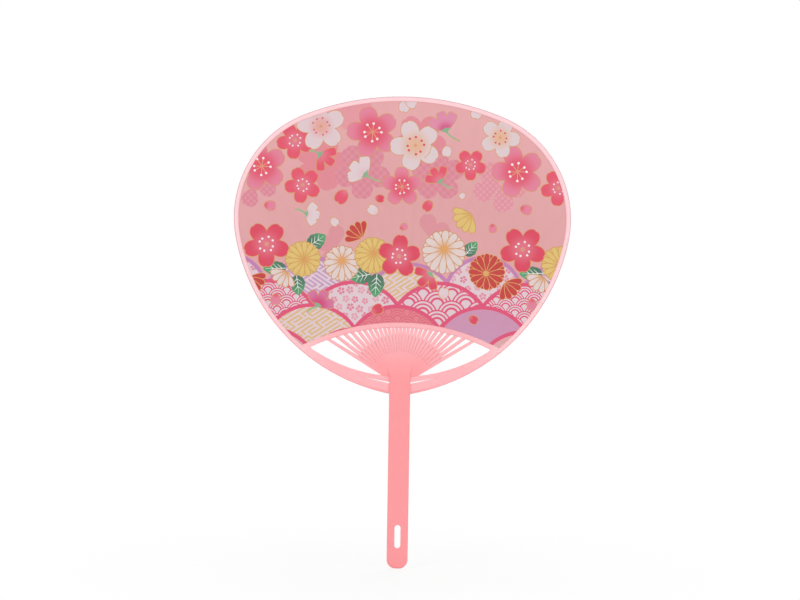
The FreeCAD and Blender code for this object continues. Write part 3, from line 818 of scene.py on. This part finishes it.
def fret_bars(half):
    """The rectangles of one repeat of the fret, in its own units."""
    for run in FRET_RUNS:
        for ends in zip(run, run[1:]):
            left, low = np.min(ends, axis=0) - half
            right, high = np.max(ends, axis=0) + half
            yield np.array([(left, low), (right, low), (right, high), (left, high)])


def key_fret(base, x, z, ink, lean):
    """A key fret on slanted lines. Its bars rise to the right, or with a lean of -1 to the left."""
    half = FRET_LINE / FRET_UNIT / 2 / math.sin(2 * FRET_SLOPE)
    across, up = FRET_UNIT * math.cos(FRET_SLOPE), FRET_UNIT * math.sin(FRET_SLOPE)
    bars = list(fret_bars(half))
    for row in range(-7, 7):
        for column in range(-5, 5):
            start = (FRET_PERIOD * column + FRET_RISE * (row % 2), FRET_RISE * row)
            for bar in bars:
                u, v = (bar + start).T
                corners = np.column_stack([x + lean * across * (u - v), z + up * (u + v)])[::lean]
                if np.hypot(*(corners - (x, z)).T).min() < MOUND_RADIUS:
                    lay(corners, ink, within=base)


def small_flowers(base, x, z, seed):
    """Small pink blossoms, strewn over a mound."""
    chance = np.random.default_rng(seed)
    for i in range(-6, 7):
        for j in range(-6, 7):
            du, dv, size, turn = chance.uniform(FLOWER_LEAST, FLOWER_MOST)
            aside, up = (i + 0.5 * (j % 2)) * FLOWER_STEP, j * FLOWER_STEP * FLOWER_RISE
            spot = (x + aside + du, z + up + dv)
            if math.hypot(spot[0] - x, spot[1] - z) > MOUND_RADIUS:
                continue
            ink = FLOWER_INKS[(i + 2 * j) % 3]
            for k in range(5):
                lay(place(FLAKE, spot, size, turn + FIFTH * k), ink, within=base)


print(sum(len(run) - 1 for run in FRET_RUNS), "bars in a repeat of the fret")

# %% Mounds
CRIMSON, MAUVE, PALE = "#dc4e74", "#c07cae", "#dec7ce"
MOUND_EDGE, MOUND_CORNERS = 2.7, 150
MOUND_STEP, ROW_STEP = 60.8, 16.8
FIRST_X, FIRST_Z = -2.4, 120.8
REPEAT = 3 * MOUND_STEP
FILLINGS = {
    "waves": (PALE, CRIMSON, (WAVES, 10.2)),
    "small_waves": (PALE, CRIMSON, (WAVES, 6.7)),
    "rose_waves": ("#e27d89", "#d96675", (WAVES, 6.7)),
    "mauve": ("#c692b5", "#ca90ae", PLAIN),
    "plain": ("#deaaa6", "#dda6a6", PLAIN),
}
FRETS = {"gold_fret": ("#dab47f", 1), "lilac_fret": ("#c397bf", -1)}
discs = []


def mound(row, column, filling, edge=CRIMSON, shift=(0.0, 0.0), own=None):
    """A disc in a row of mounds. Every second row is shifted by half a step. Some bring their own place."""
    x = FIRST_X + MOUND_STEP * (column + 0.5 * (row % 2))
    z = FIRST_Z - ROW_STEP * row
    x, z, radius = own or (x, z, MOUND_RADIUS)
    discs.append((len(shapes), np.array([x, z]), radius))
    lay(place(ring(radius, MOUND_CORNERS), (x, z)), edge)
    inner = place(ring(radius - MOUND_EDGE, MOUND_CORNERS), (x, z))
    ink, second, motif = FILLINGS.get(filling, (PALE, PALE, PLAIN))
    base = lay(inner, ink, second, (x + shift[0], z + shift[1]), (0.0, MOUND_RADIUS), motif)
    if filling == "flowers":
        small_flowers(base, x, z, 10 * row + column + 5)
    elif filling in FRETS:
        key_fret(base, x, z, *FRETS[filling])


mound(0, -2, "flowers", MAUVE, own=(58.7 - REPEAT, 131.9, 28.9))
mound(0, -1, "lilac_fret", MAUVE)
mound(0, 0, "gold_fret", MAUVE, own=(6.1, 119.8, 35.4))
mound(0, 1, "flowers", MAUVE, own=(58.7, 131.9, 28.9))
mound(0, 2, "lilac_fret", MAUVE)
mound(1, -2, "small_waves", shift=(-1.4, 2.2))
mound(1, -1, "flowers")
mound(1, 0, "waves", shift=(-2.2, -6.3))
mound(1, 1, "small_waves", shift=(-0.8, 2.1))
for column, filling in ((-1, "gold_fret"), (0, "rose_waves"), (1, "mauve")):
    mound(2, column, filling)
for column in (-2, -1, 0, 1):
    mound(3, column, "plain")
print(len(discs), "mounds,", len(shapes), "shapes")

# %% [markdown]
# ### Where everything lies
# The flowers are laid one by one, as on the real print: each has a place in millimetres on the fan, a size
# and a turn. The cluster at the left edge comes again at the right edge, about one repeat further on.

# %% Blossoms over the shadows
for entry in (
    ("red", -77.4, 241, 13, 42), ("rosy", -59.1, 251.4, 17.2, -10),
    ("pink", -22.2, 247.8, 18.2, -16), ("white", 8.5, 238.8, 17.9, -21), ("pink", 81.6, 221.1, 18.4, -17),
    ("white", 68.8, 245.3, 14.2, 24), ("pink", -100.7, 222.2, 17.5, -14), ("red", -71.4, 209.4, 12.8, -26),
    ("pink", -0.6, 209.2, 13.9, -2), ("red", 48, 225.6, 11.0, 36), ("red", 111, 210, 12.6, -31),
):
    blossom(*entry)
half_blossom("violet", (30.0, 250.2), 13.3, (-62, -18, 24), (40.4, 242.4), 0.85)
half_blossom("red", (-59.4, 231.3), 11.8, (77, 124, 177), (-67.5, 233.9), 0.8)
half_blossom("blush", (-26.9, 217.6), 12.8, (-100, -55, -4), (-15.5, 213.1))
half_blossom("red", (26.5, 213.6), 10.8, (-80, -34, 14), (35.8, 208.7), 0.8)
half_blossom("blush", (-68.2, 188.9), 9.3, (42, 96, 144), (-76.6, 192.2), 1.1)
print(len(shapes), "shapes with the blossoms")

# %% Chrysanthemums over the mounds
def cluster(x, z):
    """A red blossom over a yellow chrysanthemum, with half flowers and leaves below."""
    leaf(x - 66.9, z + 165.3, 15, 55, 0.38)
    leaf(x - 74.9, z + 145.0, 14.4, 172, 0.37)
    leaf(x - 82.3, z + 149.8, 16.5, -92, 0.30)
    half_chrysanthemum("red", x - 109.4, z + 143.3, 12.6, 136, 100)
    half_chrysanthemum("white", x - 81.6, z + 147.9, 11.6, 212, 103)
    chrysanthemum("yellow", x - 70.5, z + 156.7, 12.5, 5, 14, (1.0, -0.4))
    blossom("crimson", x - 96.6, z + 166.8, 16.1, 36)
    falling_petal("pink", x - 89.5, z + 127.6, 3.9, 185)


cluster(0.0, 0.0)
cluster(REPEAT + 0.3, -0.9)
leaf(-21.8, 146.6, 15.3, -102, 0.38)
leaf(-17.5, 147.1, 17.0, 184, 0.34)
leaf(45.0, 160.9, 12.8, 41, 0.36)
half_chrysanthemum("red", -28.4, 172.0, 12.3, -44.5, 100)
half_chrysanthemum("yellow", 49.5, 190.5, 13.6, 229, 102)
chrysanthemum("white", -42.6, 153.9, 12.6, 0, 12, (0.0, 2.0))
chrysanthemum("yellow", -20.7, 159.9, 12.8, 8, 14, (0.6, 1.7))
chrysanthemum("white", 30.0, 163.0, 15.4, 4, 12, (0.1, 2.1))
chrysanthemum("red", 60.8, 149.5, 12.9, 0, 12, (-0.6, -1.3))
blossom("crimson", -2, 159.6, 15.0, 5)
half_blossom("crimson", (20.5, 147.1), 11.3, (284, 226, 166), None, 0.8)
half_blossom("magenta", (-59.2, 124.0), 11.2, (-28, 28, 84), (-67.1, 118.5))
print(len(shapes), "shapes with the chrysanthemums")

# %% Single petals
for entry in (
    ("blush", 0.2, 266.8, 4.4, 188), ("blush", 4.9, 268.9, 4.0, 117), ("blush", 51.6, 262.8, 4.4, 190),
    ("blush", 31, 235, 3.9, 190), ("blush", 42.5, 203.5, 2.4, 220), ("red", -43.5, 201.5, 5.2, 215),
    ("crimson", -16.5, 200.5, 3.1, 100), ("pink", -94.6, 194.3, 4.0, 98), ("blush", -21, 192.2, 4, 300),
    ("red", 18, 196, 4.0, 215), ("pink", 88, 194.2, 4.0, 110), ("blush", -48.5, 183.5, 3.3, 135),
    ("pink", 1, 180.5, 2.8, 60), ("pink", 64.5, 180.4, 3.1, 170), ("blush", 30.2, 133.5, 4.0, 10),
    ("crimson", -17, 121.4, 4.1, 60), ("crimson", 51.6, 115.2, 3.3, 120),
):
    falling_petal(*entry)
for crease in (
    ((15.1, 229.9), (18.4, 233.4), (20.2, 238.6)), ((20.2, 238.6), (22.4, 238.6), (24.0, 236.4)),
):
    lay(stroke(crease, OUTLINE, OUTLINE), GOLD)
print(len(shapes), "shapes on the print")

# %% [markdown]
# ### Cutting the print into one sheet
# A constrained Delaunay triangulation takes all outlines at once and returns triangles that no outline
# crosses, with a list of the shapes that each triangle lies in. The last shape in that list is on top.
# Shapes off the sheet or quite covered by a later mound are left out first: they would only add triangles.

# %% The sheet's own outline
def crossing(centre_a, radius_a, centre_b, radius_b):
    """The right-hand one of the two points where two circles cross."""
    apart = centre_b - centre_a
    gap = np.linalg.norm(apart)
    along = (gap ** 2 + radius_a ** 2 - radius_b ** 2) / (2 * gap)
    across = math.sqrt(radius_a ** 2 - along ** 2)
    side = np.array([-apart[1], apart[0]]) / gap * across
    foot = centre_a + apart / gap * along
    return max(foot + side, foot - side, key=lambda point: point[0])


def sheet_outline():
    """The sheet's edge: inside the strip round the top, inside the horns, and along the arch below."""
    side_radius = JAW_RADIUS - RIM_WIDTH - SEAM
    foot_radius = ARCH_RADIUS + SEAM
    corner = crossing(JAW, side_radius, ARCH, foot_radius)
    right = np.vstack([
        right_edge(TIP_INSET, EAR_STEP),
        arc(JAW, side_radius, EAR_STEP, bearing_of(JAW, corner)),
        arc(ARCH, foot_radius, bearing_of(ARCH, corner), 0)[1:],
    ])
    left = right[1:-1][::-1] * (-1, 1)
    return np.vstack([right, left])[::-1]


outline = sheet_outline()
print(f"sheet outline: {len(outline)} points, {np.ptp(outline[:, 0]):.1f} x {np.ptp(outline[:, 1]):.1f} mm")

# %% Cut every shape along the others
GROUND = "#dda0a1"
GROUND_TOP = "#e2a6a8"
GROUND_FADE = 120.0
COVER_MARGIN = 0.2
INSIDE_ONLY, CUT_MERGE = 1, 0.0005


def is_seen(number, shape):
    """Whether a shape touches the sheet, and no later mound covers it."""
    points = shape.points
    if any(points.max(axis=0) < outline.min(axis=0)) or points[:, 0].min() > outline[:, 0].max():
        return False
    lids = [(centre, radius - COVER_MARGIN) for first, centre, radius in discs if number < first]
    lids.append((ARCH, ARCH_RADIUS))
    return not any(np.all(np.hypot(*(points - centre).T) < radius) for centre, radius in lids)


ground = Shape(outline, GROUND, GROUND_TOP, CROWN, (GROUND_FADE, CROWN_RADIUS))
seen = [ground] + [shape for number, shape in enumerate(shapes) if is_seen(number, shape)]
corners, faces = [], []
for shape in seen:
    first = len(corners)
    corners.extend(map(tuple, shape.points))
    faces.append(list(range(first, len(corners))))
cut, _, triangles, _, _, covers = delaunay_2d_cdt(corners, [], faces, INSIDE_ONLY, CUT_MERGE, True)
cut_points = np.array([tuple(point) for point in cut])
numbers = {id(shape): number for number, shape in enumerate(seen)}


def topmost(under):
    """The uppermost shape over a triangle. A shape that fills another counts only inside that one."""
    under = set(under)
    for number in sorted(under, reverse=True):
        within = seen[number].within
        if within is None or numbers.get(id(within)) in under:
            return number
    return 0


kept = [(triangle, topmost(under)) for triangle, under in zip(triangles, covers) if 0 in under]
print(f"{len(seen)} shapes seen, cut into {len(kept)} triangles with {len(cut_points)} corners")

# %% [markdown]
# ### The printed finish
# The triangles bring their inks as attributes, and the finish only mixes them. Where a shape names a
# formula, its rule decides between the two inks instead: sea waves are rings round a lattice of centres,
# each row laid over the one above. Over all of it goes a faint paper grain, and the ribs under the sheet
# show as soft ridges that fan out from the handle, as bumps and as a faint painted shade along each rib.

# %% Waves, squares and lattices as formulas
ROW_RATIO = 0.68
RINGS = ((1.0, 0.90), (0.765, 0.655), (0.51, 0.36))
LATTICE_OPEN = 0.36


def sea_waves(u, v, size):
    """1 on the lines of ringed scales, 0 between them."""
    rise = size * ROW_RATIO
    level = (v / rise).floor()
    foot = v - level * rise

    def reach(row, drop):
        shift = (row % 2.0) * size
        aside = abs((u - shift + size) % (size * 2.0) - size)
        return distance(aside, drop) / size

    front = reach(level - 1.0, foot + rise)
    middle = reach(level, foot)
    back = reach(level + 1.0, foot - rise)
    in_front = front < 1.0
    in_middle = (middle < 1.0) * (in_front * -1.0 + 1.0)
    behind = (in_front + in_middle) * -1.0 + 1.0
    where = front * in_front + middle * in_middle + back * behind
    first, second, third = ((where < outer) * (where > inner) for outer, inner in RINGS)
    return (first + second + third).clamped()


def squares(u, v, size):
    return ((u / size).floor() + (v / size).floor()) % 2.0


def lattice(u, v, size):
    """1 on two sets of bars that cross, 0 in the openings."""
    along = abs((u / size) % 1.0 - 0.5) > LATTICE_OPEN
    across = abs((v / size) % 1.0 - 0.5) > LATTICE_OPEN
    return along.through("MAXIMUM", across)


print("three formulas")

# %% Printed paper
RIB_FOCUS = 0.06776
RIB_PITCH, RIB_SPREAD = math.radians(3.74), math.radians(0.057)
RIDGE_SLOPE = 2.6
GRAIN_SHADE, CLOUD_SHADE, RIB_SHADE, PAPER_SHADE = 0.05, 0.06, -0.022, 0.956
GRAIN_HEIGHT = 0.10


def ridge(x, z):
    """1 along the middle of each rib under the sheet, 0 between two ribs."""
    aside = abs(x.through("ARCTAN2", z - RIB_FOCUS))
    number = ((aside * (4 * RIB_SPREAD) + RIB_PITCH ** 2).root() - RIB_PITCH) / (2 * RIB_SPREAD)
    return (abs((number + 0.5) % 1.0 - 0.5) * -RIDGE_SLOPE + 1.0).eased()


def make_printed_paper():
    material, tree, shader, place, (x, _, z) = new_finish("printed paper")
    middle_x, _, middle_z = split(attribute(tree, "centre", "Vector"))
    fade_start, fade_end, _ = split(attribute(tree, "fade", "Vector"))
    motif, size, _ = split(attribute(tree, "motif", "Vector"))
    u, v = x - middle_x, z - middle_z
    share = distance(u, v).rise(fade_start, over=fade_end - fade_start)
    formulas = {
        WAVES: sea_waves(u, v, size), CHECKER: squares(u, v, size), LATTICE: lattice(u + v, u - v, size),
    }
    for number, formula in formulas.items():
        chosen = motif.through("COMPARE", float(number), 0.1)
        share = share + (formula - share) * chosen
    inks = blend(tree, share, attribute(tree, "ink", "Color"), attribute(tree, "rim_ink", "Color"))
    ribs = ridge(x, z)
    grain = add_grain(tree, shader, place, scale=1500.0, detail=4.0, least=0.36, most=0.50)
    clouds = noise(tree, place, scale=38.0)
    # The ribs darken the paper a little along each ridge: painted shade. Grain and clouds are the paper's
    # own tone.
    shade = (grain * GRAIN_SHADE + clouds * CLOUD_SHADE + ribs * RIB_SHADE + PAPER_SHADE).clamped()
    shaded = new_node(tree, "ShaderNodeHueSaturation", {"Value": shade, "Color": inks})
    plug(tree, shaded["Color"], shader.inputs["Base Color"])
    raise_by(tree, shader, grain * GRAIN_HEIGHT + ribs, depth=0.00006)
    return material


paper = make_printed_paper()
print("made", paper.name, "with", len(paper.node_tree.nodes), "nodes")

# %% [markdown]
# ### Two sheets
# Both sheets are the same cut: the back one is the front one turned round the handle. The printed face
# gets a rim wall and a plain inner face, so that a sheet is a closed thin solid. Its own map lays the
# printed face flat, which keeps fine lines sharp when the print is baked to an image.

# %% Build both sheets
RIB_FACE, SHEET_THICK = 0.6, 0.25
MAP_NAME = "OFBake"
MAP_FACE, MAP_MARGIN = 0.98, 0.01
REST_SCALE, REST_LEVEL = 0.25, 0.77


def store(mesh, name, rows):
    """Writes a colour or a vector for each face as an attribute of the mesh."""
    rows = np.array(rows, dtype=np.float32)
    kind, field = ("FLOAT_COLOR", "color") if rows.shape[1] == 4 else ("FLOAT_VECTOR", "vector")
    mesh.attributes.new(name, kind, "FACE").data.foreach_set(field, rows.ravel())


def sheet_mesh(name, side):
    """The cut print as a closed sheet. Side 1 is the front, side -1 the back."""
    work = bmesh.new()
    face_level = -side * (RIB_FACE + SHEET_THICK) * MM
    rib_level = -side * RIB_FACE * MM
    used = sorted({corner for triangle, _ in kept for corner in triangle})
    points = {}
    for k in used:
        x, z = cut_points[k] * MM
        points[k] = work.verts.new((side * x, face_level, z))
    for triangle, _ in kept:
        work.faces.new([points[k] for k in triangle])
    rim = [edge for edge in work.edges if len(edge.link_faces) == 1]
    walls = bmesh.ops.extrude_edge_only(work, edges=rim)["geom"]
    low = {item for item in walls if isinstance(item, bmesh.types.BMVert)}
    for vertex in low:
        vertex.co.y = rib_level
    inner_rim = [edge for edge in work.edges if set(edge.verts) <= low]
    bmesh.ops.contextual_create(work, geom=inner_rim)
    work.normal_update()
    mesh = bpy.data.meshes.new(name)
    work.to_mesh(mesh)
    work.free()
    rows = [seen[number] for _, number in kept]
    rows += [ground] * (len(mesh.polygons) - len(kept))
    store(mesh, "ink", [colour(shape.ink) for shape in rows])
    store(mesh, "rim_ink", [colour(shape.rim_ink) for shape in rows])
    store(mesh, "centre", [(shape.centre[0] * side * MM, 0, shape.centre[1] * MM) for shape in rows])
    store(mesh, "fade", [(shape.fade[0] * MM, shape.fade[1] * MM, 0) for shape in rows])
    store(mesh, "motif", [(shape.motif[0], shape.motif[1] * MM, 0) for shape in rows])
    return mesh


def lay_out_map(mesh, side, printed):
    """Fills the map with the printed face, and puts wall and inner face in the strip that is left."""
    layer = mesh.uv_layers.new(name=MAP_NAME)
    wide, low = np.ptp(outline[:, 0]) * MM, outline[:, 1].min() * MM
    for polygon in mesh.polygons:
        for corner in polygon.loop_indices:
            point = mesh.vertices[mesh.loops[corner].vertex_index].co
            u = 0.5 + side * point.x / wide * MAP_FACE
            v = MAP_MARGIN + (point.z - low) / wide * MAP_FACE
            if polygon.index >= printed:
                u, v = MAP_MARGIN + REST_SCALE * u, REST_LEVEL + REST_SCALE * v
            layer.data[corner].uv = (u, v)


for name, side in (("front", 1), ("back", -1)):
    mesh = sheet_mesh(f"{name}_print", side)
    lay_out_map(mesh, side, len(kept))
    add_piece(f"fan_{name}_print", mesh, paper, f"{name}_sheet")

# %% [markdown]
# ## Floor, light and camera
# The fan stands on a white floor in soft light. Floor and sky are plain white to the camera, and the
# floor keeps the fan's shadow. Most light is even, so that each colour looks about as it is written.
# The camera looks straight at the front from over a metre away, a little turned, as in the photograph.

# %% Floor and sky
FLOOR_LEVEL = -0.063
FLOOR_HALF = 30.0
SHADOW_SHARE = 0.18
AMBIENT = 0.62


def seen_directly(tree):
    """1 for what the camera sees itself, in a mirror or through glass, 0 for light that falls on things."""
    path = new_node(tree, "ShaderNodeLightPath")
    direct = path["Is Camera Ray"].through("MAXIMUM", path["Is Glossy Ray"])
    return direct.through("MAXIMUM", path["Is Transmission Ray"])


def make_floor():
    material, tree, shader, _, (x, y, _) = new_finish("white floor")
    shader.inputs["Base Color"].default_value = (0.9, 0.9, 0.9, 1.0)
    shader.inputs["Roughness"].default_value = 0.9
    shine = tree.nodes.new("ShaderNodeEmission")
    mix = tree.nodes.new("ShaderNodeMixShader")
    near = distance(x, y).fall(end=0.30, over=0.28) * SHADOW_SHARE
    plug(tree, seen_directly(tree) * (near * -1.0 + 1.0), mix.inputs[0])
    tree.links.new(shader.outputs[0], mix.inputs[1])
    tree.links.new(shine.outputs[0], mix.inputs[2])
    tree.links.new(mix.outputs[0], tree.nodes["Material Output"].inputs["Surface"])
    corners = np.array([(-1, -1, 0), (1, -1, 0), (1, 1, 0), (-1, 1, 0)]) * FLOOR_HALF
    mesh = bpy.data.meshes.new("floor")
    mesh.from_pydata(corners + (0, 0, FLOOR_LEVEL), [], [(0, 1, 2, 3)])
    mesh.materials.append(material)
    floor = put("floor", mesh)


def make_sky():
    world = bpy.data.worlds.new("even light")
    bpy.context.scene.world = world
    world.use_nodes = True
    tree = world.node_tree
    sky = tree.nodes["Background"]
    sky.inputs["Color"].default_value = (1.0, 1.0, 1.0, 1.0)
    plug(tree, seen_directly(tree) * (1.0 - AMBIENT) + AMBIENT, sky.inputs["Strength"])


make_floor()
make_sky()
bpy.context.scene.view_settings.view_transform = "Standard"
print("white floor and sky, even light of", AMBIENT)

# %% Lamps
HEAD_MIDDLE = (0.0, 0.0, 0.14)


def lamp(name, watts, size, at):
    """A square lamp that looks at the middle of the head."""
    light = bpy.data.lights.new(name, "AREA")
    light.energy = watts
    light.size = size
    holder = put(name, light)
    holder.location = at
    away = Vector(at) - Vector(HEAD_MIDDLE)
    holder.rotation_euler = away.to_track_quat("Z", "Y").to_euler()


lamp("front left", 10.5, 1.2, (-1.1, -1.5, 1.1))
lamp("front right", 7.5, 1.2, (1.3, -1.4, 0.7))
lamp("back", 14.0, 1.4, (0.5, 1.7, 1.1))
print("three soft lamps")

# %% Camera
LENS, SENSOR = 85.0, 36.0
CAMERA_PLACE = (-0.0008, -1.3475, 0.1284)
CAMERA_ROLL = math.radians(-0.9)
camera = put("camera", bpy.data.cameras.new("camera"))
bpy.context.scene.camera = camera
camera.data.lens = LENS
camera.data.sensor_width = SENSOR
camera.location = CAMERA_PLACE
camera.rotation_euler = (math.radians(90), CAMERA_ROLL, 0.0)
print("camera", [round(c, 4) for c in camera.location])
